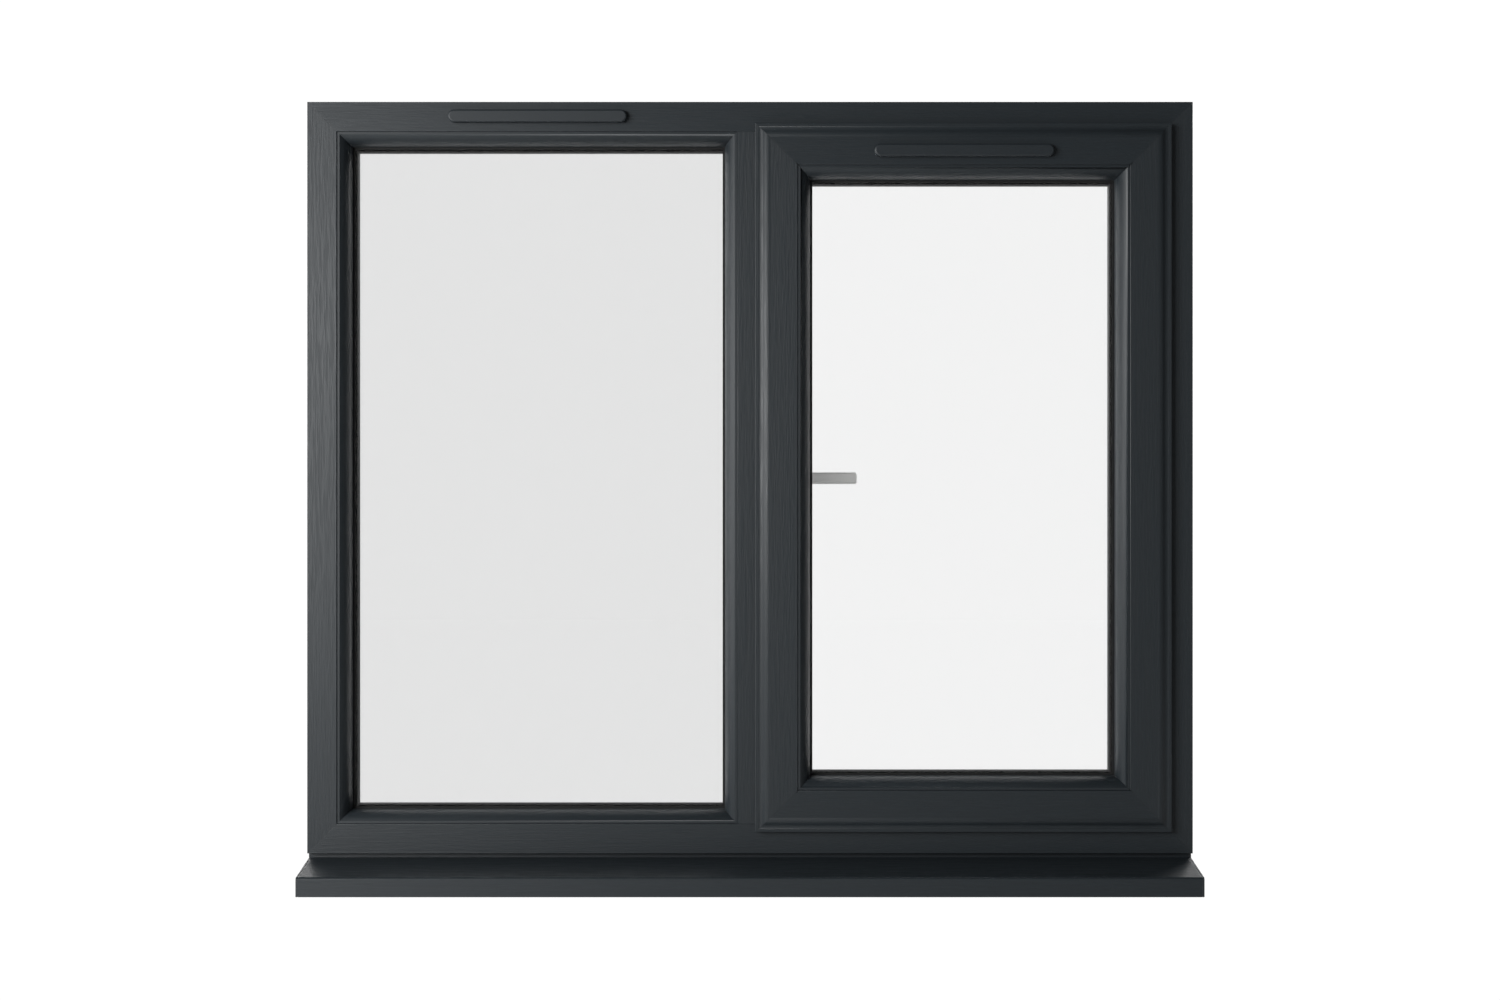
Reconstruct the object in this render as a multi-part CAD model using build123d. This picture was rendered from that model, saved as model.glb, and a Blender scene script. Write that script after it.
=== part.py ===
from build123d import *
import math
import os

# Two-light casement window: a fixed light on the left and an outward-opening side-hung sash on the
# right, seen from outside. Millimetres. +X right seen from outside, +Y into the building, +Z up.
# The origin is on the underside of the cill, at mid width, in the plane of the frame's outer face.

os.makedirs("parts", exist_ok=True)

# Outer frame
FRAME_WIDTH = 1190.0
FRAME_HEIGHT = 1010.0
FRAME_DEPTH = 70.0
FRAME_FACE = 40.0            # flat face, also the height of the rebate floor
FRAME_SIGHT = 60.0           # outer edge to the inside edge of the inner upstand
UPSTAND_Y = 57.0             # outer side of the frame's inner upstand
MULLION_HALF = 17.0
SIGHT_HALF = 37.0            # half width of the mullion over its upstands
FRAME_BOTTOM = 30.0          # height of the frame's underside over the cill bed

# Opening sash
SASH_LEFT = 7.0
SASH_RIGHT = 565.0
SASH_MARGIN = 30.0           # frame face left in view above and below the sash
SASH_PROUD = 17.0
SASH_DEPTH = 72.0
LIP_BACK = -6.0              # inner side of the overlapping lip
LIP_REACH = 23.0             # lip edge to the sash body
SASH_FLAT = 57.0             # lip edge to the glazing rebate
SASH_SIGHT = 77.0
SASH_UPSTAND_Y = 40.0

# Glazing, measured inwards from a rebate floor and back from a face
BEAD_WIDTH = 17.0
BEAD_BACK = 27.0
BEAD_GAP = 0.3               # between the bead's outer edge and the rebate wall
BEAD_SET = 1.0               # bead's outer edge behind the face
BEAD_FOOT = 8.0              # depth where the bead steps out to its snap-in foot
GASKET = 3.0
GLASS_FRONT = BEAD_BACK + GASKET
PANE = 4.0
CAVITY = 16.0
UNIT = 2 * PANE + CAVITY
GLASS_CLEAR = 5.0            # gap between a unit's edge and the rebate floor
WALL = 3.0
EDGE_R = 0.9                 # rounding of the extrusions' corners
STEEL = 2.0

# Cill
CILL_PROJECTION = 80.0
CILL_CAP = 3.0
NOSE_TOP = 11.0
NOSE_BOTTOM = -15.0
STEP_Y = 12.0
STEP_Z = 23.0
CILL_SCREW_Y = 64.0
CILL_SCREWS_X = (-450.0, -150.0, 150.0, 450.0)

# Friction stays: a short arm turns on a fixed post, a long arm turns on a sliding shoe, and the
# sash arm joins their free ends.  The long arm is as long as the other two together, so the shoe
# keeps exactly to the track's line and both arms turn as far back as the sash turns out.
SHORT_ARM = 40.0
ARM_SPAN = 110.0             # between the two pivots of the sash arm
LONG_ARM = SHORT_ARM + ARM_SPAN
STAY_ANGLE = 6.0             # angle of every arm to the track when shut, degrees
ARM_X = 547.0                # pivot between the short arm and the sash arm when shut
TRACK_Y = 24.0
TRACK_END = 553.0
SHOE_PIN_R = 3.0
STACK = LIP_REACH - 10.0     # gap between sash body and frame rebate floor
TRACK_WIDTH = 20.0
PIN_R = 3.5
RUN = 0.05                   # radial running clearance
TRACK_BASE = 1.8             # thickness of the track's floor; heights run from the rebate floor
TRACK_LIP = 0.8              # half thickness of the track's two lips
TRACK_LIP_TOP = 5.0
TRACK_BEYOND = 34.0          # track past the shoe's pin
TRACK_HOLES_X = (450.0, 480.0)
END_CAP = (12.0, 7.5)        # length and height
ARM_WIDTH = 14.0
SASH_ARM_WIDTH = 15.0
ARM_LEVELS = (6.0, 8.4)      # under and upper side of the short and long arms
ARM_CUT = (5.0, 9.5)         # a cut right through them
SASH_ARM_LOW = 10.6
BOSS_R = 6.0
SHOE_HALF = (12.0, 8.2)
SHOE_LEVELS = (2.1, 5.2)
SHOE_PIN_LOW = 2.6
STAY_SCREW_R = 2.05
STAY_HOLE_R = 2.1
STAY_HEAD_R = 3.8
STAY_HEAD = 1.4              # height of a track screw's head
ARM_SCREW_SHARES = (0.25, 0.5, 0.75)

# Espagnolette and handle
HANDLE_X = 55.0
HANDLE_Z = 535.0
LEVER_LENGTH = 92.0
CAM_Y = 30.0
CAM_TRAVEL = 20.0
CAM_OFFSETS = (-300.0, -100.0, 100.0, 300.0)
RAIL_LENGTH = 700.0
FACEPLATE_LENGTH = 780.0

# Trickle vents
VENT_LENGTH = 240.0
VENT_HEIGHT = 17.0
VENT_PROUD = 9.0
VENT_SLOT = (196.0, 8.0)
FIXED_VENT_X = -285.0
SASH_VENT_X = 286.0
SASH_VENT_DROP = 38.5        # sash top edge to the vent's centre line

# Fixings through the jambs
FIXING_R = 4.1
FIXING_Y = 40.0
FIXING_OFFSETS = (130.0, 380.0)   # fixing holes above and below the middle of each jamb

FRAME_TOP = FRAME_BOTTOM + FRAME_HEIGHT
HALF = FRAME_WIDTH / 2
MID_Z = FRAME_BOTTOM + FRAME_HEIGHT / 2
FRAME_RECT = (-HALF, HALF, FRAME_BOTTOM, FRAME_TOP)
SASH_RECT = (SASH_LEFT, SASH_RIGHT, FRAME_BOTTOM + SASH_MARGIN, FRAME_TOP - SASH_MARGIN)
SASH_FACE = -SASH_PROUD
SASH_BACK = SASH_FACE + SASH_DEPTH
FLOOR_TOP = FRAME_TOP - FRAME_FACE
FLOOR_BOTTOM = FRAME_BOTTOM + FRAME_FACE
FIXED_REBATE = (-HALF + FRAME_FACE, -MULLION_HALF, FLOOR_BOTTOM, FLOOR_TOP)
OPEN_REBATE = (MULLION_HALF, HALF - FRAME_FACE, FLOOR_BOTTOM, FLOOR_TOP)
SASH_REBATE = tuple(v + s * SASH_FLAT for v, s in zip(SASH_RECT, (1, -1, 1, -1)))
SIDES = ("left", "right", "bottom", "top")


def save(name, *solids):
    """Write one node as a STEP file, its solids side by side."""
    flat = [piece for item in solids for piece in item.solids()]
    export_step(Compound(children=flat), f"parts/{name}.step")


def block(x0, x1, y0, y1, z0, z1):
    """A box given by its limits."""
    size = (x1 - x0, y1 - y0, z1 - z0)
    middle = ((x0 + x1) / 2, (y0 + y1) / 2, (z0 + z1) / 2)
    return Pos(*middle) * Box(*size)


def rod(radius, start, direction, length):
    """A cylinder from a start point along a direction."""
    return extrude(Plane(origin=start, z_dir=direction) * Circle(radius), amount=length)


def polygon(points):
    """A face from corner points."""
    return make_face(Polyline(*points, close=True))


def side_plane(side, rect):
    """Plane whose x runs inwards from one side of a rectangle and whose y is the row's +Y."""
    x0, x1, z0, z1 = rect
    return {
        "left": Plane(origin=(x0, 0, z0), x_dir=(1, 0, 0), z_dir=(0, 0, 1)),
        "right": Plane(origin=(x1, 0, z1), x_dir=(-1, 0, 0), z_dir=(0, 0, -1)),
        "bottom": Plane(origin=(x1, 0, z0), x_dir=(0, 0, 1), z_dir=(-1, 0, 0)),
        "top": Plane(origin=(x0, 0, z1), x_dir=(0, 0, -1), z_dir=(1, 0, 0)),
    }[side]


def mitred_bar(face, side, rect, reach):
    """Extrude a section along one side of a rectangle and cut both ends at 45 degrees."""
    x0, x1, z0, z1 = rect
    length = z1 - z0 if side in ("left", "right") else x1 - x0
    bar = extrude(side_plane(side, rect) * face, amount=length)
    a0, a1, b0, b1 = x0 + reach, x1 - reach, z0 + reach, z1 - reach
    inner = ((a0, b0), (a1, b0), (a1, b1), (a0, b1))
    outer = ((x0, z0), (x1, z0), (x1, z1), (x0, z1))
    first, second = {"bottom": (0, 1), "right": (1, 2), "top": (2, 3), "left": (3, 0)}[side]
    corners = (outer[first], outer[second], inner[second], inner[first])
    wedge = extrude(Plane.XZ.offset(200) * polygon(corners), amount=-400)
    return bar & wedge


def ring(rect, near, far, y0, y1):
    """A rectangular ring between two insets from a rectangle."""
    x0, x1, z0, z1 = rect
    whole = block(x0 + near, x1 - near, y0, y1, z0 + near, z1 - near)
    return whole - block(x0 + far, x1 - far, y0 - 1, y1 + 1, z0 + far, z1 - far)


def hollow(face, *chambers):
    """Cut rectangular chambers (u0, u1, y0, y1) out of a section."""
    for u0, u1, y0, y1 in chambers:
        face -= Pos((u0 + u1) / 2, (y0 + y1) / 2) * Rectangle(u1 - u0, y1 - y0)
    return face


def steel_box(u0, u1, y0, y1):
    """Section of a square reinforcing tube."""
    outline = polygon(((u0, y0), (u1, y0), (u1, y1), (u0, y1)))
    return hollow(outline, (u0 + STEEL, u1 - STEEL, y0 + STEEL, y1 - STEEL))


def rounded(face, radius, *corners):
    """Round the corners of a section that lie at the given points."""
    near = [v for v in face.vertices() if any(math.dist((v.X, v.Y), at) < 0.01 for at in corners)]
    return fillet(near, radius)


def frame_section():
    outline = (
        (0, 0), (FRAME_FACE, 0), (FRAME_FACE, UPSTAND_Y), (FRAME_SIGHT, UPSTAND_Y),
        (FRAME_SIGHT, FRAME_DEPTH), (0, FRAME_DEPTH),
    )
    solid = rounded(polygon(outline), EDGE_R, (0, 0), (FRAME_FACE, 0), (0, FRAME_DEPTH))
    solid = rounded(solid, EDGE_R, (FRAME_SIGHT, UPSTAND_Y), (FRAME_SIGHT, FRAME_DEPTH))
    return hollow(
        solid,
        (WALL, FRAME_FACE - WALL, WALL, 20),
        (WALL, FRAME_FACE - WALL, 20 + WALL, UPSTAND_Y - WALL),
        (WALL, FRAME_SIGHT - WALL, UPSTAND_Y + WALL, FRAME_DEPTH - WALL),
    )


def mullion_section():
    outline = (
        (-MULLION_HALF, 0), (MULLION_HALF, 0), (MULLION_HALF, UPSTAND_Y), (-MULLION_HALF, UPSTAND_Y),
    )
    return hollow(
        rounded(polygon(outline), EDGE_R, (-MULLION_HALF, 0), (MULLION_HALF, 0)),
        (WALL - MULLION_HALF, MULLION_HALF - WALL, WALL, 20),
        (WALL - MULLION_HALF, MULLION_HALF - WALL, 20 + WALL, UPSTAND_Y - WALL),
    )


def sash_section():
    """Lip with an ogee outer edge, hollow body and inner upstand."""
    low = SASH_FACE + 6.5
    start, middle, end = (4.5, low), (11.5, (low + SASH_FACE) / 2), (20.5, SASH_FACE)
    edges = (
        Line((0, LIP_BACK), (0, low + 0.6)),
        Line((0, low + 0.6), (0.6, low)),
        Line((0.6, low), start),
        ThreePointArc(start, (8.6, low - 1.0), middle),
        ThreePointArc(middle, (15.0, SASH_FACE + 1.0), end),
        Line(end, (SASH_FLAT, SASH_FACE)),
        Line((SASH_FLAT, SASH_FACE), (SASH_FLAT, SASH_UPSTAND_Y)),
        Line((SASH_FLAT, SASH_UPSTAND_Y), (SASH_SIGHT, SASH_UPSTAND_Y)),
        Line((SASH_SIGHT, SASH_UPSTAND_Y), (SASH_SIGHT, SASH_BACK)),
        Line((SASH_SIGHT, SASH_BACK), (LIP_REACH, SASH_BACK)),
        Line((LIP_REACH, SASH_BACK), (LIP_REACH, LIP_BACK)),
        Line((LIP_REACH, LIP_BACK), (0, LIP_BACK)),
    )
    corners = (
        (SASH_FLAT, SASH_FACE), (SASH_SIGHT, SASH_UPSTAND_Y),
        (SASH_SIGHT, SASH_BACK), (LIP_REACH, SASH_BACK),
    )
    return hollow(
        rounded(make_face(Wire(edges)), EDGE_R, *corners),
        (LIP_REACH + WALL, SASH_FLAT - WALL, SASH_FACE + WALL, -2),
        (LIP_REACH + 8, SASH_FLAT - WALL, -2 + WALL, SASH_UPSTAND_Y - WALL),
        (LIP_REACH + WALL, SASH_SIGHT - WALL, SASH_UPSTAND_Y + WALL, SASH_BACK - WALL),
    )


def bead_section(face_y):
    """Ovolo glazing bead, u from the rebate floor, behind a face at face_y."""
    front, back, foot = face_y + BEAD_SET, face_y + BEAD_BACK, face_y + BEAD_FOOT
    shoulder, nose, lip = (3.2, front), (BEAD_WIDTH - 0.8, face_y + 21.0), (BEAD_WIDTH, face_y + 22.5)
    edges = (
        Line((BEAD_GAP, foot), (BEAD_GAP, front)),
        Line((BEAD_GAP, front), shoulder),
        ThreePointArc(shoulder, (12.2, face_y + 8.2), nose),
        Line(nose, lip),
        Line(lip, (BEAD_WIDTH, back)),
        Line((BEAD_WIDTH, back), (0.1, back)),
        Line((0.1, back), (0.1, foot)),
        Line((0.1, foot), (BEAD_GAP, foot)),
    )
    return make_face(Wire(edges))


def glazing(prefix, rebate, face_y):
    """Beads, gaskets, double-glazed unit and packers of one light."""
    front = face_y + GLASS_FRONT
    back = front + UNIT
    beads = [mitred_bar(bead_section(face_y), side, rebate, BEAD_WIDTH + 1) for side in SIDES]
    save(f"{prefix}_beads", *beads)
    save(f"{prefix}_gasket_outer", ring(rebate, 8, BEAD_WIDTH + GASKET, face_y + BEAD_BACK, front))
    save(f"{prefix}_gasket_inner", ring(rebate, 8, BEAD_WIDTH + GASKET, back, back + GASKET))
    x0, x1, z0, z1 = (v + s * GLASS_CLEAR for v, s in zip(rebate, (1, -1, 1, -1)))
    save(f"{prefix}_pane_outer", block(x0, x1, front, front + PANE, z0, z1))
    save(f"{prefix}_pane_inner", block(x0, x1, back - PANE, back, z0, z1))
    edge = (x0, x1, z0, z1)
    save(f"{prefix}_edge_seal", ring(edge, 0, 4, front + PANE, back - PANE))
    save(f"{prefix}_spacer", ring(edge, 4, 11, front + PANE, back - PANE))
    packers = []
    for x in (x0 + 60, x1 - 60):
        for floor, height in ((rebate[2], 1), (rebate[3], -1)):
            z_low, z_high = sorted((floor, floor + height * GLASS_CLEAR))
            packers.append(block(x - 40, x + 40, front, back, z_low, z_high))
    save(f"{prefix}_packers", *packers)


def vent_cut(x, z):
    """The airway through a head or rail."""
    length, height = VENT_SLOT
    return block(x - length / 2, x + length / 2, -100, 200, z - height / 2, z + height / 2)


def vent_canopy(x, z, face_y):
    """Outer hood: rounded cover, open underneath behind a front wall."""
    outline = Plane.XZ.offset(-face_y) * Pos(x, z) * SlotOverall(VENT_LENGTH, VENT_HEIGHT)
    hood = extrude(outline, amount=VENT_PROUD)
    front_edges = hood.faces().sort_by(Axis.Y)[0].edges()
    hood = fillet(front_edges, 2.5)
    length, height = VENT_SLOT
    room = block(x - length / 2, x + length / 2, face_y - VENT_PROUD + 2, face_y, z - 7, z + height / 2)
    mouth = block(x - length / 2, x + length / 2, face_y - VENT_PROUD + 3, face_y - 3, z - 10, z)
    return hood - room - mouth


def vent_inside(prefix, x, z, back_y, height):
    """Room-side vent: slotted body, hinged flap with a finger ridge, pivots and screws."""
    half, deep = 126.0, 9.0
    low, high = z - height / 2, z + height / 2
    body = block(x - half, x + half, back_y, back_y + deep, low, high)
    body -= block(x - 98, x + 98, back_y - 1, back_y + deep + 1, z - 3.8, z + 3.8)
    pocket = block(x - 108, x + 108, back_y + 5, back_y + deep + 1, low + 1.2, high - 1.2)
    body -= pocket
    pivot_z, pivot_y = low + 2.6, back_y + 6.9
    holes = rod(1.0 + RUN, (x - 112, pivot_y, pivot_z), (1, 0, 0), 224)
    body -= holes
    for sx in (-1, 1):
        body -= rod(1.6, (x + sx * 119, back_y - 1, z), (0, 1, 0), deep + 2)
    save(f"{prefix}_vent_body", body)
    flap = block(x - 107.5, x + 107.5, back_y + 5.9, back_y + 7.9, low + 1.8, high - 1.6)
    flap += block(x - 20, x + 20, back_y + 7.9, back_y + 10.9, high - 4.2, high - 2.6)
    flap += rod(1.0, (x - 111.5, pivot_y, pivot_z), (1, 0, 0), 223)
    save(f"{prefix}_vent_flap", flap)
    screws = []
    for sx in (-1, 1):
        at = (x + sx * 119, back_y - 2.5, z)
        shank = rod(1.5, at, (0, 1, 0), deep + 2.5)
        head = rod(2.9, (at[0], back_y + deep, z), (0, 1, 0), 1.2)
        screws.append(shank + head)
    save(f"{prefix}_vent_screws", *screws)
    return [rod(1.55, (x + sx * 119, back_y - 3, z), (0, 1, 0), 3.5) for sx in (-1, 1)]


def jamb_fixings(x, direction, length):
    """Clearance holes for the frame's wall fixings."""
    levels = [MID_Z + side * offset for offset in FIXING_OFFSETS for side in (-1, 1)]
    return [rod(FIXING_R, (x, FIXING_Y, z), direction, length) for z in levels]


def cut_all(solid, cutters):
    for cutter in cutters:
        solid = solid - cutter
    return solid


def frame_parts():
    section = frame_section()
    vent_z = FRAME_TOP - FRAME_FACE / 2
    cuts = vent_inside("frame", FIXED_VENT_X, vent_z, FRAME_DEPTH, 24.0) + [vent_cut(FIXED_VENT_X, vent_z)]
    names = {
        "left": "frame_jamb_fixed", "right": "frame_jamb_hinge",
        "bottom": "frame_bottom_rail", "top": "frame_head",
    }
    fixings = {
        "left": jamb_fixings(-HALF - 1, (1, 0, 0), FRAME_FACE + 2),
        "right": jamb_fixings(HALF + 1, (-1, 0, 0), FRAME_FACE + 2),
        "bottom": [rod(2.0, (x, CILL_SCREW_Y, FRAME_BOTTOM - 1), (0, 0, 1), 12) for x in CILL_SCREWS_X],
        "top": cuts,
    }
    steels = []
    clear, outer = 1.0, 20 + WALL
    for side in SIDES:
        bar = mitred_bar(section, side, FRAME_RECT, FRAME_SIGHT + 1)
        save(names[side], cut_all(bar, fixings[side]))
        u0, u1 = WALL + clear, FRAME_FACE - WALL - clear
        y0, y1 = outer + clear, UPSTAND_Y - WALL - clear
        box = steel_box(u0, u1, y0, y1)
        bar = mitred_bar(box, side, FRAME_RECT, FRAME_SIGHT)
        x0, x1, z0, z1 = FRAME_RECT
        core = block(x0 + 70, x1 - 70, -10, 90, z0 - 1, z1 + 1)
        if side in ("left", "right"):
            core = block(x0 - 1, x1 + 1, -10, 90, z0 + 70, z1 - 70)
        steels.append(cut_all(bar & core, fixings[side]))
    mullion = extrude(Plane.XY.offset(FLOOR_BOTTOM) * mullion_section(), amount=FLOOR_TOP - FLOOR_BOTTOM)
    flange_low, flange_high = FRAME_BOTTOM + FRAME_SIGHT, FRAME_TOP - FRAME_SIGHT
    flange = block(-SIGHT_HALF, SIGHT_HALF, UPSTAND_Y, FRAME_DEPTH, flange_low, flange_high)
    inside = (WALL - SIGHT_HALF, SIGHT_HALF - WALL, UPSTAND_Y + WALL, FRAME_DEPTH - WALL)
    flange -= block(*inside, flange_low - 1, flange_high + 1)
    save("frame_mullion", mullion + flange)
    u, y0, y1 = MULLION_HALF - WALL - clear, outer + clear, UPSTAND_Y - WALL - clear
    post = block(-u, u, y0, y1, FLOOR_BOTTOM + 5, FLOOR_TOP - 5)
    post -= block(STEEL - u, u - STEEL, y0 + STEEL, y1 - STEEL, FLOOR_BOTTOM, FLOOR_TOP)
    save("frame_steels", *steels, post)
    save("frame_weather_seal", ring(OPEN_REBATE, 14.5, 19.0, SASH_BACK + 0.2, UPSTAND_Y))
    save("frame_vent_canopy", vent_canopy(FIXED_VENT_X, vent_z, 0))


def cill_parts():
    outline = (
        (FRAME_DEPTH, 0), (FRAME_DEPTH, FRAME_BOTTOM), (STEP_Y, FRAME_BOTTOM), (STEP_Y, STEP_Z),
        (2 - CILL_PROJECTION, NOSE_TOP), (-CILL_PROJECTION, NOSE_TOP - 2), (-CILL_PROJECTION, NOSE_BOTTOM),
        (4 - CILL_PROJECTION, NOSE_BOTTOM), (4 - CILL_PROJECTION, 0),
    )
    low, high = WALL, FRAME_BOTTOM - WALL
    body = hollow(polygon(outline), (STEP_Y + WALL, 39, low, high), (42, FRAME_DEPTH - WALL, low, high))
    body -= polygon(((STEP_Y, WALL), (STEP_Y, STEP_Z - 3.4), (-30, 14.0), (-30, WALL)))
    body -= polygon(((-33, WALL), (-33, 13.6), (5 - CILL_PROJECTION, 8.0), (5 - CILL_PROJECTION, WALL)))
    across = Plane(origin=(CILL_CAP - HALF, 0, 0), x_dir=(0, 1, 0), z_dir=(1, 0, 0))
    cill = extrude(across * body, amount=FRAME_WIDTH - 2 * CILL_CAP)
    screws = []
    for x in CILL_SCREWS_X:
        shank = rod(2.0, (x, CILL_SCREW_Y, 0.6), (0, 0, 1), FRAME_BOTTOM + 8)
        head = rod(4.0, (x, CILL_SCREW_Y, 0.6), (0, 0, 1), 1.8)
        cill -= rod(2.0, (x, CILL_SCREW_Y, -1), (0, 0, 1), FRAME_BOTTOM + 2)
        cill -= rod(4.0, (x, CILL_SCREW_Y, -1), (0, 0, 1), 3.4)
        screws.append(shank + head)
    save("cill_body", cill)
    caps = []
    for x in (-HALF, HALF - CILL_CAP):
        plane = Plane(origin=(x, 0, 0), x_dir=(0, 1, 0), z_dir=(1, 0, 0))
        caps.append(extrude(plane * polygon(outline), amount=CILL_CAP))
    save("cill_end_caps", *caps)
    return screws


def sash_parts():
    section = sash_section()
    vent_z = SASH_RECT[3] - SASH_VENT_DROP
    top_cuts = vent_inside("sash", SASH_VENT_X, vent_z, SASH_BACK, 15.0) + [vent_cut(SASH_VENT_X, vent_z)]
    names = {
        "left": "sash_lock_stile", "right": "sash_hinge_stile",
        "bottom": "sash_bottom_rail", "top": "sash_top_rail",
    }
    body_x = SASH_LEFT + LIP_REACH
    reach = FACEPLATE_LENGTH / 2
    groove = block(body_x - 1, body_x + 5, CAM_Y - 8, CAM_Y + 8, HANDLE_Z - reach, HANDLE_Z + reach)
    pocket = block(body_x, SASH_LEFT + SASH_FLAT - WALL, CAM_Y - 8, CAM_Y + 7, HANDLE_Z - 56, HANDLE_Z + 56)
    spindle_way = rod(6.5, (HANDLE_X, CAM_Y, HANDLE_Z), (0, 1, 0), 40)
    posts = [rod(3.1, (HANDLE_X, SASH_UPSTAND_Y, HANDLE_Z + dz), (0, 1, 0), 30) for dz in (-21.5, 21.5)]
    cuts = {"left": [groove, pocket, spindle_way, *posts], "right": [], "bottom": [], "top": top_cuts}
    steels = []
    u0, u1, y0, y1 = LIP_REACH + 9, SASH_FLAT - WALL - 1, 2.0, 20.0
    box = steel_box(u0, u1, y0, y1)
    x0, x1, z0, z1 = SASH_RECT
    for side in SIDES:
        bar = mitred_bar(section, side, SASH_RECT, SASH_SIGHT + 1)
        save(names[side], cut_all(bar, cuts[side]))
        core = block(x0 + 85, x1 - 85, -30, 90, z0 - 1, z1 + 1)
        if side in ("left", "right"):
            core = block(x0 - 1, x1 + 1, -30, 90, z0 + 85, z1 - 85)
        vent = [vent_cut(SASH_VENT_X, vent_z)] if side == "top" else []
        steels.append(cut_all(mitred_bar(box, side, SASH_RECT, SASH_SIGHT) & core, vent))
    save("sash_steels", *steels)
    save("sash_weather_seal", ring(SASH_RECT, 12.5, LIP_REACH, LIP_BACK, -2.0))
    save("sash_vent_canopy", vent_canopy(SASH_VENT_X, vent_z, SASH_FACE))


def plate(points, width, z0, z1):
    """Flat bar with round ends through two points in plan."""
    (xa, ya), (xb, yb) = points
    length = math.dist(*points)
    turn = math.degrees(math.atan2(yb - ya, xb - xa))
    shape = SlotCenterToCenter(length, width)
    middle = Pos((xa + xb) / 2, (ya + yb) / 2, z0) * Rot(0, 0, turn)
    return extrude(middle * shape, amount=z1 - z0)


def stay_levels(top):
    """A function from heights over the frame's rebate floor to row heights."""
    return (lambda h: FLOOR_TOP - h) if top else (lambda h: FLOOR_BOTTOM + h)


def stay_parts():
    """Friction stays at the head and the bottom rail, mirror images in height."""
    angle = math.radians(STAY_ANGLE)
    along, across = math.cos(angle), math.sin(angle)
    near = (ARM_X, TRACK_Y - SHORT_ARM * across)
    post = (ARM_X - SHORT_ARM * along, TRACK_Y)
    far = (near[0] - ARM_SPAN * along, near[1] - ARM_SPAN * across)
    shoe = (far[0] - LONG_ARM * along, TRACK_Y)
    names = ("tracks", "end_caps", "short_arms", "long_arms", "sash_arms", "shoes", "screws", "arm_screws")
    nodes = {name: [] for name in names}
    for top in (False, True):
        level = stay_levels(top)

        def span(h0, h1):
            return sorted((level(h0), level(h1)))

        def bar(x0, x1, y0, y1, h0, h1):
            return block(x0, x1, y0, y1, *span(h0, h1))

        def pin(radius, at, h0, h1):
            low, high = span(h0, h1)
            return rod(radius, (*at, low), (0, 0, 1), high - low)

        half, left = TRACK_WIDTH / 2, shoe[0] - TRACK_BEYOND
        track = bar(left, TRACK_END, TRACK_Y - half, TRACK_Y + half, 0, TRACK_BASE)
        for side in (-1, 1):
            edge = TRACK_Y + side * (half - TRACK_LIP)
            track += bar(left, TRACK_END, edge - TRACK_LIP, edge + TRACK_LIP, 0, TRACK_LIP_TOP)
        track += pin(BOSS_R, post, TRACK_BASE, 5.9) + pin(PIN_R, post, 5.9, 8.7)
        for x in (shoe[0] - 24, *TRACK_HOLES_X):
            track -= pin(STAY_HOLE_R, (x, TRACK_Y), -1, 3)
            shank = pin(STAY_SCREW_R, (x, TRACK_Y), 0, TRACK_BASE)
            head = pin(STAY_HEAD_R, (x, TRACK_Y), TRACK_BASE, TRACK_BASE + STAY_HEAD)
            nodes["screws"].append(shank + head)
        nodes["tracks"].append(track)
        cap_length, cap_height = END_CAP
        nodes["end_caps"].append(bar(left - cap_length, left, TRACK_Y - half, TRACK_Y + half, 0, cap_height))
        short_arm = plate((post, near), ARM_WIDTH, *span(*ARM_LEVELS))
        for at in (post, near):
            short_arm -= pin(PIN_R + RUN, at, *ARM_CUT)
        nodes["short_arms"].append(short_arm)
        long_arm = plate((shoe, far), ARM_WIDTH, *span(*ARM_LEVELS)) - pin(PIN_R + RUN, far, *ARM_CUT)
        nodes["long_arms"].append(long_arm + pin(SHOE_PIN_R, shoe, SHOE_PIN_LOW, ARM_LEVELS[0]))
        half_x, half_y = SHOE_HALF
        slider = bar(shoe[0] - half_x, shoe[0] + half_x, TRACK_Y - half_y, TRACK_Y + half_y, *SHOE_LEVELS)
        nodes["shoes"].append(slider - pin(SHOE_PIN_R + RUN, shoe, 1, 6))
        sash_arm = plate((far, near), SASH_ARM_WIDTH, *span(SASH_ARM_LOW, STACK))
        for at in (near, far):
            sash_arm += pin(BOSS_R, at, 8.8, SASH_ARM_LOW) + pin(PIN_R, at, 5.7, 8.8)
        for share in ARM_SCREW_SHARES:
            at = tuple(a + share * (b - a) for a, b in zip(far, near))
            sash_arm -= pin(STAY_HOLE_R, at, 10, 14)
            shank = pin(STAY_SCREW_R, at, SASH_ARM_LOW, STACK)
            nodes["arm_screws"].append(shank + pin(STAY_HEAD_R, at, 9.4, SASH_ARM_LOW))
        nodes["sash_arms"].append(sash_arm)
    return nodes


def save_stays():
    nodes = stay_parts()
    save("stay_tracks", *nodes["tracks"])
    save("stay_end_caps", *nodes["end_caps"])
    save("stay_short_arms", *nodes["short_arms"])
    save("stay_long_arms", *nodes["long_arms"])
    save("stay_sash_arms", *nodes["sash_arms"])
    save("stay_shoes", *nodes["shoes"])
    save("stay_track_screws", *nodes["screws"])
    save("stay_arm_screws", *nodes["arm_screws"])


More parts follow.
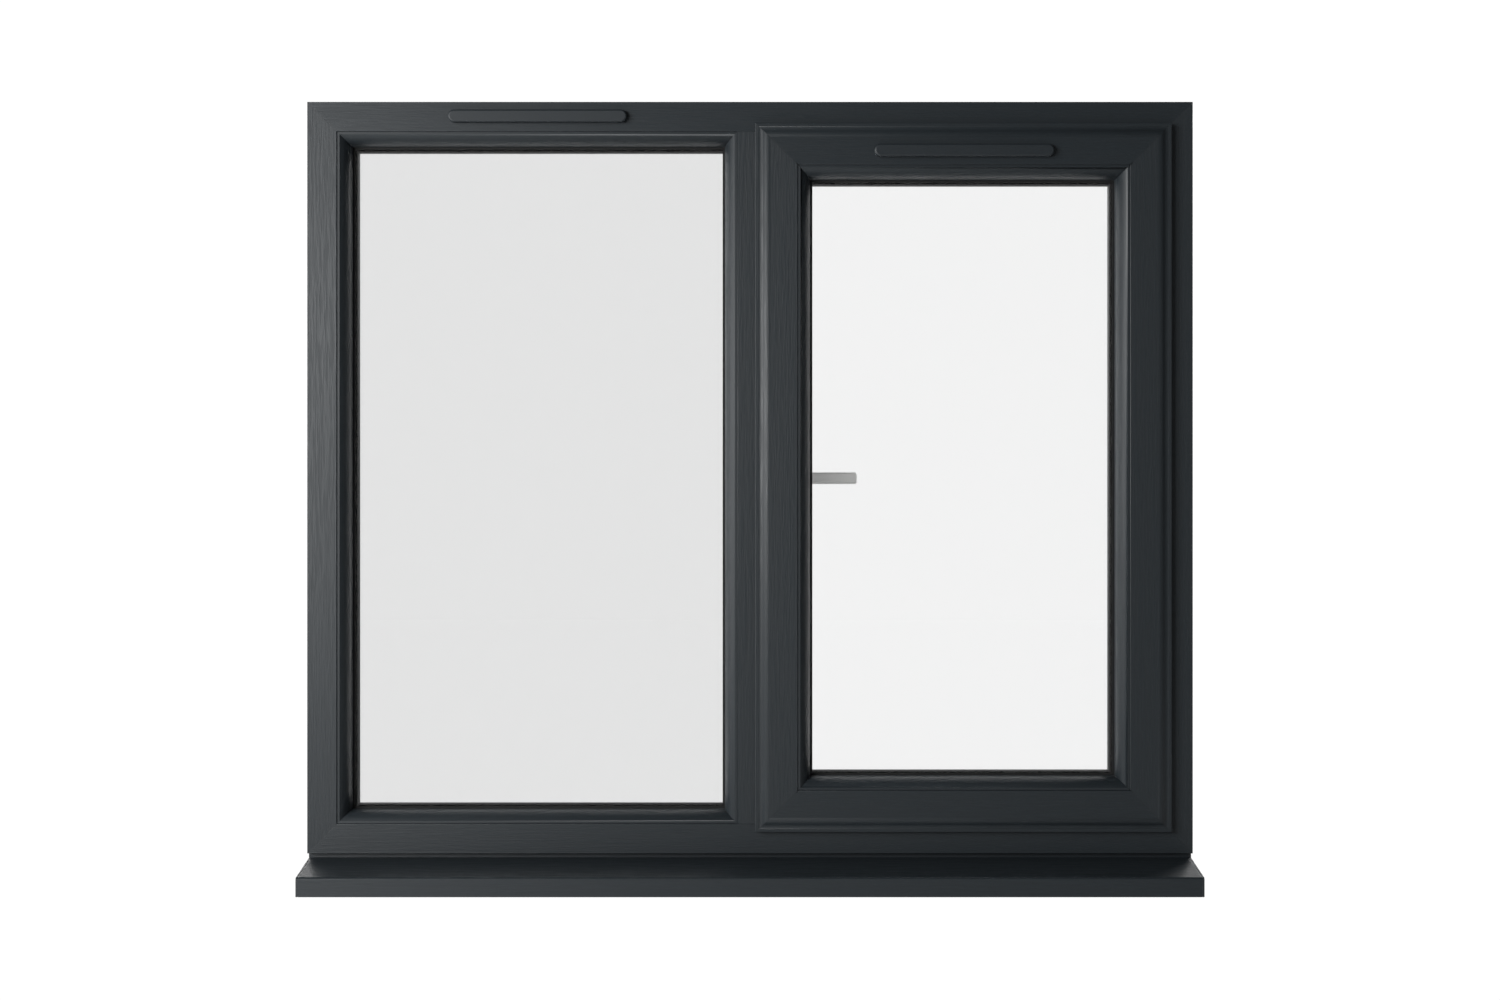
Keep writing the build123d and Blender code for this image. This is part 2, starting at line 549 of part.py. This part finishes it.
def lock_parts():
    """Espagnolette in the lock stile's groove, with keeps on the mullion."""
    body_x = SASH_LEFT + LIP_REACH
    reach = FACEPLATE_LENGTH / 2 - 0.5
    faceplate = block(body_x, body_x + 2, CAM_Y - 7.8, CAM_Y + 7.8, HANDLE_Z - reach, HANDLE_Z + reach)
    cams = []
    keeps = []
    keep_screws = []
    for offset in CAM_OFFSETS:
        z = HANDLE_Z + offset
        slot = block(body_x - 1, body_x + 3, CAM_Y - 3.8, CAM_Y + 3.8, z - 4.5, z + CAM_TRAVEL + 4.5)
        faceplate -= slot
        stem = rod(3.5, (body_x - 5.5, CAM_Y, z), (1, 0, 0), 7.8)
        cams.append(stem + rod(5.5, (body_x - 8, CAM_Y, z), (1, 0, 0), 2.5))
        engaged = z + CAM_TRAVEL
        keep = block(MULLION_HALF, MULLION_HALF + 1.8, 14, 40, engaged - 20, engaged + 20)
        keep += block(MULLION_HALF, body_x - 2.5, 19.5, 24.1, engaged - 7, engaged + 7)
        for dz in (-14, 14):
            at = (MULLION_HALF, 20, engaged + dz)
            keep -= rod(2.1, (MULLION_HALF - 1, 20, engaged + dz), (1, 0, 0), 4)
            shank = rod(2.05, at, (1, 0, 0), 1.8)
            head = rod(3.6, (MULLION_HALF + 1.8, *at[1:]), (1, 0, 0), 1.2)
            keep_screws.append(shank + head)
        keeps.append(keep)
    save("lock_faceplate", faceplate)
    save("lock_cams", *cams)
    save("lock_keeps", *keeps)
    save("lock_keep_screws", *keep_screws)
    half = RAIL_LENGTH / 2
    rail = block(body_x + 2.3, body_x + 4.5, CAM_Y - 5, CAM_Y + 5, HANDLE_Z - half, HANDLE_Z + half)
    save("lock_drive_rail", rail)
    case_end = SASH_LEFT + SASH_FLAT - WALL - 0.3
    case = block(body_x + 5.0, case_end, CAM_Y - 7.6, CAM_Y + 6.6, HANDLE_Z - 54, HANDLE_Z + 54)
    case -= rod(5.6, (HANDLE_X, CAM_Y - 9, HANDLE_Z), (0, 1, 0), 20)
    save("lock_gearbox", case)


def handle_parts():
    """Base, lever, spindle, push button and screws, the lever level with the sash free to open."""
    back = SASH_BACK
    oval = Plane.XZ.offset(-back) * Pos(HANDLE_X, HANDLE_Z) * SlotOverall(66, 24, rotation=90)
    base = extrude(oval, amount=-10)
    base = fillet(base.faces().sort_by(Axis.Y)[-1].edges(), 2.5)
    base -= rod(8.0 + RUN, (HANDLE_X, back - 1, HANDLE_Z), (0, 1, 0), 12)
    screws = []
    for dz in (-21.5, 21.5):
        base -= rod(2.6, (HANDLE_X, back - 1, HANDLE_Z + dz), (0, 1, 0), 12)
        base -= rod(4.6, (HANDLE_X, back + 8, HANDLE_Z + dz), (0, 1, 0), 4)
        shank = rod(2.5, (HANDLE_X, SASH_UPSTAND_Y + 2, HANDLE_Z + dz), (0, 1, 0), back + 8 - SASH_UPSTAND_Y - 2)
        screws.append(shank + rod(4.5, (HANDLE_X, back + 8, HANDLE_Z + dz), (0, 1, 0), 1.6))
    save("handle_base", base)
    save("handle_screws", *screws)
    hub = rod(8.0, (HANDLE_X, back + 2, HANDLE_Z), (0, 1, 0), 10)
    neck = rod(9.0, (HANDLE_X, back + 10.4, HANDLE_Z), (0, 1, 0), 24)
    neck = fillet(neck.faces().sort_by(Axis.Y)[-1].edges(), 3)
    grip_y = back + 24
    grip = extrude(
        Plane.YZ.offset(HANDLE_X) * Pos(grip_y + 5, HANDLE_Z) * RectangleRounded(10, 16, 4),
        amount=LEVER_LENGTH,
    )
    grip = fillet(grip.faces().sort_by(Axis.X)[-1].edges(), 3)
    lever = hub + neck + grip
    button_x = HANDLE_X + 26
    lever -= rod(4.0 + RUN, (button_x, grip_y + 4, HANDLE_Z), (0, 1, 0), 10)
    lever -= block(HANDLE_X - 3.55, HANDLE_X + 3.55, back + 1, back + 20, HANDLE_Z - 3.55, HANDLE_Z + 3.55)
    save("handle_lever", lever)
    spindle = block(HANDLE_X - 3.5, HANDLE_X + 3.5, CAM_Y - 5, back + 19.5, HANDLE_Z - 3.5, HANDLE_Z + 3.5)
    save("handle_spindle", spindle)
    save("handle_button", rod(4.0, (button_x, grip_y + 6.8, HANDLE_Z), (0, 1, 0), 6.2))


def main():
    frame_parts()
    cill_screws = cill_parts()
    save("cill_screws", *cill_screws)
    glazing("fixed", FIXED_REBATE, 0.0)
    sash_parts()
    glazing("sash", SASH_REBATE, SASH_FACE)
    save_stays()
    lock_parts()
    handle_parts()


main()
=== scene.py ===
import math

import bpy
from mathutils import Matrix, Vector


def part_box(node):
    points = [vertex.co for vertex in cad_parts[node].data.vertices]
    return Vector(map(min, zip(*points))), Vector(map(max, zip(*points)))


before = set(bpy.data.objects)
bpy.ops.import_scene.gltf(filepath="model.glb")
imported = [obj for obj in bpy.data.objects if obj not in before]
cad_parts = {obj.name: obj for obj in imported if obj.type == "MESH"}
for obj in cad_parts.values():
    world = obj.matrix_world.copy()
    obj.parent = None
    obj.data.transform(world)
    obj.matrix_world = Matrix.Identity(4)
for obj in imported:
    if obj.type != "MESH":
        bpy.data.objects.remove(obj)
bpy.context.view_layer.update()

# Camera: straight on from outside, on the window's centre line
CAMERA_DISTANCE = 3.09
CAMERA_ABOVE_CILL_BED = 0.505
LENS_MM = 55.2
SENSOR_MM = 36.0

# Lighting
FLOOR_Z = -0.70
FLOOR_SIZE = 40
STAGE_GREY = 0.72         # the floor as a source of bounced light
SKY_WHITE = 1.04
AMBIENT = 0.066
MIDDLE = (0.0, 0.0, 0.52)
LEFT_OF_MIDDLE = (-0.4, 0.0, 0.5)

# Softboxes: name, place, target, width, height, watts
SOFTBOXES = (
    ("key", (-3.0, -2.6, 1.45), MIDDLE, 1.3, 1.9, 96.0),
    ("sheen", (-1.75, -3.1, 0.85), LEFT_OF_MIDDLE, 0.7, 1.0, 43.0),
    ("side", (-2.6, -0.35, 0.7), (0.0, 0.0, 0.5), 0.5, 1.6, 16.0),
    ("fill", (2.6, -3.4, 1.2), MIDDLE, 1.6, 1.6, 3.5),
    ("rim", (2.2, 2.6, 1.8), MIDDLE, 1.6, 1.8, 70.0),
    ("back", (-2.2, 2.8, 1.4), MIDDLE, 1.8, 1.8, 70.0),
)

# Foil: linear colours, and the grain pressed into it
FOIL = (0.0180, 0.0240, 0.0285)
FOIL_DARK = (0.0140, 0.0190, 0.0230)
GRAIN_ACROSS = 420.0      # grain lines per metre, across the member
GRAIN_STRETCH = 16.0      # how many times longer than wide the grain is
BEAD_STRETCH = 70.0       # the same on mouldings, where the foil is drawn out
GRAIN_WARP = 0.0012       # how far the grain wanders, metres
WARP_SCALE = 26.0
BROAD_RATIO = 6           # fine grain lines to one broad one
PORE_HEIGHT = 0.6
BROAD_HEIGHT = 0.7
FLAT_RELIEF = 0.32        # bump strength of the grain on flat members
BEAD_RELIEF = 0.05        # the same on mouldings, where the foil is pulled smooth
FOIL_DEPTH = 0.00030
PORE_ROUGHNESS = 0.50
RIDGE_ROUGHNESS = 0.38
FOIL_STRETCH = 0.20       # anisotropy: grooved foil spreads light across its grain
MITRE_LINE = 0.00030      # half width of the weld line at a mitre
MITRE_FADE = 0.00090      # where it has faded out
MITRE_COLOUR = (0.006, 0.007, 0.008)
MITRE_TONE = 0.22
MITRE_SINK = 0.15

# Rounding of sharp arrises
EDGE_WIDTH = 0.0006
EDGE_ANGLE = math.radians(35)
WELD_DISTANCE = 0.00002

FRAME_MEMBERS = ("frame_jamb_fixed", "frame_jamb_hinge", "frame_head", "frame_bottom_rail")
SASH_MEMBERS = ("sash_lock_stile", "sash_hinge_stile", "sash_top_rail", "sash_bottom_rail")
CANOPIES = ("frame_vent_canopy", "sash_vent_canopy")
VENTS = ("frame_vent_body", "sash_vent_body", "frame_vent_flap", "sash_vent_flap")
STAYS = ("stay_tracks", "stay_short_arms", "stay_long_arms", "stay_sash_arms")
STEELS = ("frame_steels", "sash_steels")
HANDLE = ("handle_base", "handle_lever")
LOCK = ("lock_faceplate", "lock_drive_rail", "lock_gearbox", "lock_keeps", "handle_spindle")
SEALS = tuple(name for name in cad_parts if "gasket" in name or "weather_seal" in name)
SCREWS = tuple(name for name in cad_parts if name.endswith("screws"))

# How a metal's surface noise is squeezed along X, Y and Z: a small number draws it out into lines
EVEN = (1, 1, 1)
LINES_ALONG_X = (0.04, 1.0, 1.0)
LINES_ALONG_Z = (1.0, 1.0, 0.04)
SHORT_LINES = (0.2, 1.0, 1.0)

# Every finish but the foil: kind, name, linear colour, its other settings, nodes
FINISHES = (
    ("satin", "cap_plastic", (0.0240, 0.0290, 0.0335), {}, ("cill_end_caps",)),
    ("satin", "canopy_plastic", (0.0150, 0.0205, 0.0250), {"roughness": 0.46}, CANOPIES),
    ("satin", "vent_plastic", (0.024, 0.028, 0.032), {"roughness": 0.40}, VENTS),
    # The two panes are one clear glass. The fixed pane's darker tint is painted shade and the sash pane's
    # lighter tint is painted light, set for how bright each pane shows.
    ("glass", "fixed_glass", (0.872, 0.873, 0.873), {}, ("fixed_pane_outer", "fixed_pane_inner")),
    ("glass", "sash_glass", (0.938, 0.939, 0.939), {}, ("sash_pane_outer", "sash_pane_inner")),
    ("rubber", "seal_rubber", (0.010, 0.011, 0.011), {}, SEALS),
    ("rubber", "edge_sealant", (0.016, 0.016, 0.017), {}, ("fixed_edge_seal", "sash_edge_seal")),
    ("satin", "spacer_bar", (0.014, 0.014, 0.015), {"roughness": 0.5}, ("fixed_spacer", "sash_spacer")),
    ("satin", "packer_plastic", (0.08, 0.20, 0.07), {"roughness": 0.5}, ("fixed_packers", "sash_packers")),
    ("brushed", "galvanised", (0.55, 0.57, 0.58), {"along": EVEN, "roughness": 0.45}, STEELS),
    ("brushed", "screw_steel", (0.62, 0.61, 0.58), {"along": EVEN, "roughness": 0.3}, SCREWS),
    ("brushed", "stay_steel", (0.60, 0.61, 0.62), {"along": LINES_ALONG_X}, STAYS),
    ("satin", "stay_plastic", (0.02, 0.02, 0.021), {"roughness": 0.5}, ("stay_end_caps",)),
    ("satin", "slider_nylon", (0.45, 0.38, 0.16), {"roughness": 0.42}, ("stay_shoes",)),
    ("brushed", "lock_steel", (0.58, 0.59, 0.60), {"along": LINES_ALONG_Z}, LOCK),
    ("brushed", "cam_steel", (0.62, 0.58, 0.46), {"along": SHORT_LINES, "roughness": 0.28}, ("lock_cams",)),
    ("satin", "handle_paint", (0.82, 0.82, 0.80), {"roughness": 0.34, "vary": 0.03}, HANDLE),
    ("brushed", "button_chrome", (0.78, 0.78, 0.80), {"along": EVEN, "roughness": 0.12}, ("handle_button",)),
)

MIX_SOCKETS = {"VECTOR": (4, 1), "RGBA": (6, 2)}      # index of a Mix node's first input, of its output


class Nodes:
    """Small helper to build a material's node tree."""

    def __init__(self, name):
        self.material = bpy.data.materials.new(name)
        self.material.use_nodes = True
        self.tree = self.material.node_tree
        self.shader = self.tree.nodes["Principled BSDF"]

    def set(self, **values):
        for key, value in values.items():
            self.shader.inputs[key.replace("_", " ")].default_value = value
        return self

    def add(self, kind, **settings):
        node = self.tree.nodes.new(kind)
        for key, value in settings.items():
            setattr(node, key, value)
        return node

    def link(self, source, target):
        self.tree.links.new(source, target)

    def math(self, operation, a, b=None):
        node = self.add("ShaderNodeMath", operation=operation)
        for socket, value in zip(node.inputs, (a, b)):
            if value is None:
                continue
            if isinstance(value, (int, float)):
                socket.default_value = value
            else:
                self.link(value, socket)
        return node.outputs[0]

    def position(self):
        node = self.add("ShaderNodeTexCoord")
        split = self.add("ShaderNodeSeparateXYZ")
        self.link(node.outputs["Object"], split.inputs[0])
        return node.outputs["Object"], split.outputs

    def fixed(self, vector):
        node = self.add("ShaderNodeCombineXYZ")
        for socket, value in zip(node.inputs, vector):
            socket.default_value = value
        return node.outputs[0]

    def scaled(self, vector, scale):
        node = self.add("ShaderNodeVectorMath", operation="MULTIPLY")
        self.link(vector, node.inputs[0])
        node.inputs[1].default_value = scale
        return node.outputs[0]

    def noise(self, vector, scale, detail=4.0, roughness=0.5, distortion=0.0):
        node = self.add("ShaderNodeTexNoise")
        self.link(vector, node.inputs["Vector"])
        node.inputs["Scale"].default_value = scale
        node.inputs["Detail"].default_value = detail
        node.inputs["Roughness"].default_value = roughness
        node.inputs["Distortion"].default_value = distortion
        return node.outputs["Fac"]

    def mix(self, factor, a, b, kind="RGBA"):
        """a where factor is 0 and b where it is 1; each is a socket or a plain colour."""
        node = self.add("ShaderNodeMix", data_type=kind)
        first, output = MIX_SOCKETS[kind]
        self.link(factor, node.inputs[0])
        for socket, value in ((node.inputs[first], a), (node.inputs[first + 1], b)):
            if hasattr(value, "is_linked"):
                self.link(value, socket)
            else:
                socket.default_value = (*value, 1.0)
        return node.outputs[output]

    def ramp(self, factor, low, high, to_low=0.0, to_high=1.0):
        node = self.add("ShaderNodeMapRange")
        self.link(factor, node.inputs["Value"])
        for key, value in (("From Min", low), ("From Max", high), ("To Min", to_low), ("To Max", to_high)):
            node.inputs[key].default_value = value
        return node.outputs["Result"]

    def bump(self, height, strength, distance):
        node = self.add("ShaderNodeBump")
        self.link(height, node.inputs["Height"])
        node.inputs["Strength"].default_value = strength
        node.inputs["Distance"].default_value = distance
        self.link(node.outputs["Normal"], self.shader.inputs["Normal"])


def foil(name, rect=None, vertical=True, relief=FLAT_RELIEF, stretch=GRAIN_STRETCH):
    """Woodgrain foil. Inside a rectangle (x0, x1, z0, z1) the grain follows its four mitred sides."""
    n = Nodes(name).set(Metallic=0.0, Specular_IOR_Level=0.5, Anisotropic=FOIL_STRETCH)
    where, axes = n.position()
    across_upright = n.fixed((1.0, 0.0, 0.0))
    across_level = n.fixed((0.0, 0.0, 1.0))
    upright = n.scaled(where, (1.0, 1.0, 1.0 / stretch))
    level = n.scaled(where, (1.0 / stretch, 1.0, 1.0))
    if rect is None:
        along = upright if vertical else level
        across = across_upright if vertical else across_level
        seam = None
    else:
        x0, x1, z0, z1 = rect
        off_x = n.math("ABSOLUTE", n.math("SUBTRACT", axes["X"], (x0 + x1) / 2))
        off_z = n.math("ABSOLUTE", n.math("SUBTRACT", axes["Z"], (z0 + z1) / 2))
        from_side = n.math("SUBTRACT", (x1 - x0) / 2, off_x)
        from_end = n.math("SUBTRACT", (z1 - z0) / 2, off_z)
        lead = n.math("SUBTRACT", from_side, from_end)
        is_side = n.math("LESS_THAN", lead, 0.0)
        along = n.mix(is_side, level, upright, "VECTOR")
        across = n.mix(is_side, across_level, across_upright, "VECTOR")
        seam = n.ramp(n.math("ABSOLUTE", lead), MITRE_LINE, MITRE_FADE, to_low=1.0, to_high=0.0)
    warp = n.noise(along, WARP_SCALE, detail=2.0)
    shifted = n.add("ShaderNodeVectorMath", operation="ADD")
    bent = n.scaled(warp, (GRAIN_WARP, GRAIN_WARP, GRAIN_WARP))
    n.link(along, shifted.inputs[0])
    n.link(bent, shifted.inputs[1])
    at = shifted.outputs[0]
    fine = n.noise(at, GRAIN_ACROSS, detail=3.0, roughness=0.6, distortion=0.3)
    broad = n.noise(at, GRAIN_ACROSS / BROAD_RATIO, detail=3.0, roughness=0.55, distortion=0.6)
    pores = n.ramp(fine, low=0.42, high=0.60)
    height = n.math("ADD", n.math("MULTIPLY", pores, PORE_HEIGHT), n.math("MULTIPLY", broad, BROAD_HEIGHT))
    tone = n.ramp(height, low=0.25, high=1.05)
    colour = n.mix(tone, FOIL_DARK, FOIL)
    rough = n.ramp(height, low=0.2, high=1.1, to_low=PORE_ROUGHNESS, to_high=RIDGE_ROUGHNESS)
    if seam is not None:
        colour = n.mix(n.math("MULTIPLY", seam, MITRE_TONE), colour, MITRE_COLOUR)
        height = n.math("SUBTRACT", height, n.math("MULTIPLY", seam, MITRE_SINK))
    n.link(colour, n.shader.inputs["Base Color"])
    n.link(rough, n.shader.inputs["Roughness"])
    n.link(across, n.shader.inputs["Tangent"])
    n.bump(height, relief, FOIL_DEPTH)
    return n.material


def textured(n, tone, fine, colour, darkest, roughness, relief, depth):
    """Mottle a shader's colour by one noise, and its roughness and surface by another."""
    dark = tuple(c * darkest for c in colour)
    smooth, rough = roughness
    n.link(n.mix(tone, dark, colour), n.shader.inputs["Base Color"])
    n.link(n.ramp(fine, low=0.3, high=0.7, to_low=smooth, to_high=rough), n.shader.inputs["Roughness"])
    n.bump(fine, relief, depth)
    return n.material


def satin(name, colour, roughness=0.45, vary=0.12):
    """Moulded plastic or painted metal with a fine even texture and faint mottling."""
    n = Nodes(name).set(Metallic=0.0, Specular_IOR_Level=0.5)
    where, _ = n.position()
    fine = n.noise(where, scale=900.0, detail=2.0)
    broad = n.noise(where, scale=14.0, detail=3.0)
    spread = (roughness - 0.05, roughness + 0.07)
    return textured(n, broad, fine, colour, darkest=1 - vary, roughness=spread, relief=0.4, depth=0.00006)


def brushed(name, colour, along, roughness=0.32):
    """Plated or stainless steel with a directional finish and light staining."""
    n = Nodes(name).set(Metallic=1.0)
    where, _ = n.position()
    lines = n.noise(n.scaled(where, along), scale=1600.0, detail=2.0)
    stain = n.noise(where, scale=30.0, detail=4.0)
    spread = (roughness - 0.07, roughness + 0.1)
    return textured(n, stain, lines, colour, darkest=0.72, roughness=spread, relief=0.25, depth=0.00004)


def rubber(name, colour):
    """Dull black rubber or sealant with a fine grain."""
    n = Nodes(name).set(Specular_IOR_Level=0.35)
    where, _ = n.position()
    fine = n.noise(where, scale=1400.0, detail=3.0)
    return textured(n, fine, fine, colour, darkest=0.7, roughness=(0.62, 0.8), relief=0.3, depth=0.00005)


def glass(name, tint_and_painted_light):
    """Clear float glass. Its tint also carries painted light and shade: one glass given a darker tint in the
    fixed pane and a lighter one in the sash pane.
    """
    n = Nodes(name).set(Transmission_Weight=1.0, IOR=1.45, Roughness=0.0, Base_Color=(*tint_and_painted_light, 1.0))
    return n.material


def rect_of(*names):
    """Limits (x0, x1, z0, z1) of several nodes together."""
    boxes = [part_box(name) for name in names]
    low = [min(b[0][i] for b in boxes) for i in range(3)]
    high = [max(b[1][i] for b in boxes) for i in range(3)]
    return low[0], high[0], low[2], high[2]


def paint(material, *names):
    """Give nodes one material in every slot."""
    for name in names:
        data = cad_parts[name].data
        if not data.materials:
            data.materials.append(material)
        for i in range(len(data.materials)):
            data.materials[i] = material


def paint_all():
    frame_foil = foil("frame_foil", rect_of(*FRAME_MEMBERS))
    sash_foil = foil("sash_foil", rect_of(*SASH_MEMBERS))
    paint(frame_foil, *FRAME_MEMBERS)
    paint(foil("mullion_foil", vertical=True), "frame_mullion")
    paint(foil("cill_foil", vertical=False), "cill_body")
    paint(sash_foil, *SASH_MEMBERS)
    for beads in ("fixed_beads", "sash_beads"):
        drawn = foil(beads + "_foil", rect_of(beads), relief=BEAD_RELIEF, stretch=BEAD_STRETCH)
        paint(drawn, beads)
    makers = {"satin": satin, "brushed": brushed, "rubber": rubber, "glass": glass}
    for kind, name, colour, settings, nodes in FINISHES:
        paint(makers[kind](name, colour, **settings), *nodes)


def soften_edges():
    """Round the sharp arrises of the coloured members, so that they catch the light."""
    for name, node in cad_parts.items():
        if "pane" in name or "gasket" in name:
            continue
        weld = node.modifiers.new("weld", "WELD")
        weld.merge_threshold = WELD_DISTANCE
        bevel = node.modifiers.new("bevel", "BEVEL")
        bevel.width = EDGE_WIDTH
        bevel.segments = 2
        bevel.limit_method = "ANGLE"
        bevel.angle_limit = EDGE_ANGLE
        bevel.harden_normals = False
        bevel.use_clamp_overlap = True


def looked_at(tree):
    """1 where a camera ray or a ray through the glass arrives, 0 for every other ray."""
    path = tree.nodes.new("ShaderNodeLightPath")
    seen = tree.nodes.new("ShaderNodeMath")
    seen.operation = "MAXIMUM"
    tree.links.new(path.outputs["Is Camera Ray"], seen.inputs[0])
    tree.links.new(path.outputs["Is Transmission Ray"], seen.inputs[1])
    return seen.outputs[0]


def white_to_eye(name):
    """Stage material: plain white where it is looked at, a quieter diffuse where it lights the window."""
    material = bpy.data.materials.new(name)
    material.use_nodes = True
    tree = material.node_tree
    tree.nodes.clear()
    out = tree.nodes.new("ShaderNodeOutputMaterial")
    mix = tree.nodes.new("ShaderNodeMixShader")
    diffuse = tree.nodes.new("ShaderNodeBsdfDiffuse")
    diffuse.inputs["Color"].default_value = (STAGE_GREY, STAGE_GREY, STAGE_GREY, 1)
    glow = tree.nodes.new("ShaderNodeEmission")
    glow.inputs["Strength"].default_value = SKY_WHITE
    tree.links.new(looked_at(tree), mix.inputs[0])
    tree.links.new(diffuse.outputs[0], mix.inputs[1])
    tree.links.new(glow.outputs[0], mix.inputs[2])
    tree.links.new(mix.outputs[0], out.inputs["Surface"])
    return material


def make_world():
    world = bpy.data.worlds.new("studio")
    bpy.context.scene.world = world
    world.use_nodes = True
    tree = world.node_tree
    background = tree.nodes["Background"]
    background.inputs["Color"].default_value = (1, 1, 1, 1)
    strength = tree.nodes.new("ShaderNodeMapRange")
    strength.inputs["To Min"].default_value = AMBIENT
    strength.inputs["To Max"].default_value = SKY_WHITE
    tree.links.new(looked_at(tree), strength.inputs["Value"])
    tree.links.new(strength.outputs["Result"], background.inputs["Strength"])


def make_floor():
    bpy.ops.mesh.primitive_plane_add(size=FLOOR_SIZE, location=(0, 0, FLOOR_Z))
    floor = bpy.context.object
    floor.name = "floor"
    floor.data.materials.append(white_to_eye("floor_white"))


def softbox(name, place, target, width, height, power):
    light = bpy.data.lights.new(name, "AREA")
    light.shape = "RECTANGLE"
    light.size = width
    light.size_y = height
    light.energy = power
    lamp = bpy.data.objects.new(name, light)
    lamp.location = place
    lamp.rotation_euler = (Vector(target) - Vector(place)).to_track_quat("-Z", "Y").to_euler()
    bpy.context.collection.objects.link(lamp)
    lamp.visible_camera = False
    lamp.visible_transmission = False


def make_lights():
    for row in SOFTBOXES:
        softbox(*row)


def make_camera():
    camera = bpy.data.cameras.new("camera")
    camera.lens = LENS_MM
    camera.sensor_width = SENSOR_MM
    obj = bpy.data.objects.new("camera", camera)
    obj.location = (0.0, -CAMERA_DISTANCE, CAMERA_ABOVE_CILL_BED)
    obj.rotation_euler = (math.pi / 2, 0, 0)
    bpy.context.collection.objects.link(obj)
    bpy.context.scene.camera = obj


bpy.context.scene.view_settings.view_transform = "Standard"
make_camera()
make_world()
make_floor()
make_lights()
paint_all()
soften_edges()
